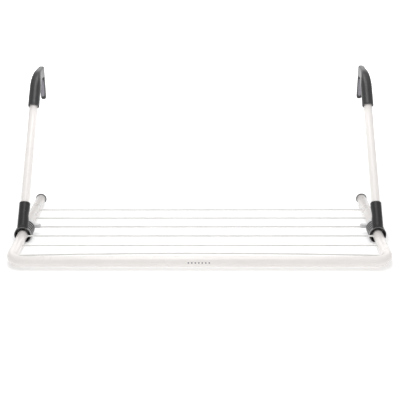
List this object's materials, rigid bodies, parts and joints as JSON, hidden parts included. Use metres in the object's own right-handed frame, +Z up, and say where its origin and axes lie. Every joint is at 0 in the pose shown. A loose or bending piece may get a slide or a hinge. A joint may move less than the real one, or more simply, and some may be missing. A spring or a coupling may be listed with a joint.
{
  "type": "clothes drying rack",
  "caption": "Hanging clothes drying rack: flat U of white tube with thin rods, on two leaning uprights with dark hooks that fold inwards.",
  "frame": {"origin": "middle of the rack's footprint, on the surface it stands on", "axes": "+Z up, +X along the rods to the rack's right seen from the front bar, -Y towards the front bar"},
  "size_m": [0.807, 0.487, 0.3137],
  "materials": {
    "white_tube": "gloss powder coat",
    "coated_line": "satin plastic coat on steel rod",
    "charcoal_plastic": "satin moulded",
    "pale_plastic": "translucent moulded",
    "grip_pad": "matt",
    "bright_steel": "zinc plated"
  },
  "bodies": {
    "frame": {"frame_tube": "white_tube", "line_1": "coated_line", "line_2": "coated_line", "line_3": "coated_line", "line_4": "coated_line", "line_5": "coated_line", "line_6": "coated_line", "end_cap_left": "charcoal_plastic", "end_cap_right": "charcoal_plastic", "detent_ring_left": "pale_plastic", "detent_ring_right": "pale_plastic", "stop_bush_left": "charcoal_plastic", "stop_bush_right": "charcoal_plastic", "stop_rivet_left": "bright_steel", "stop_rivet_right": "bright_steel"},
    "left_upright": {"hinge_body_left": "charcoal_plastic", "upright_tube_left": "white_tube", "hook_left": "charcoal_plastic", "hook_pad_left": "grip_pad", "upright_screw_left": "bright_steel", "hook_screw_left": "bright_steel"},
    "right_upright": {"hinge_body_right": "charcoal_plastic", "upright_tube_right": "white_tube", "hook_right": "charcoal_plastic", "hook_pad_right": "grip_pad", "upright_screw_right": "bright_steel", "hook_screw_right": "bright_steel"}
  },
  "joints": [
    {"name": "left_fold", "type": "hinge", "parent": "frame", "child": "left_upright", "pos_m": [-0.385, -0.08, 0.0162], "axis": [0, 1, 0], "range_deg": [0, 74]},
    {"name": "right_fold", "type": "hinge", "parent": "frame", "child": "right_upright", "pos_m": [0.385, -0.08, 0.0162], "axis": [0, -1, 0], "range_deg": [0, 74]}
  ]
}
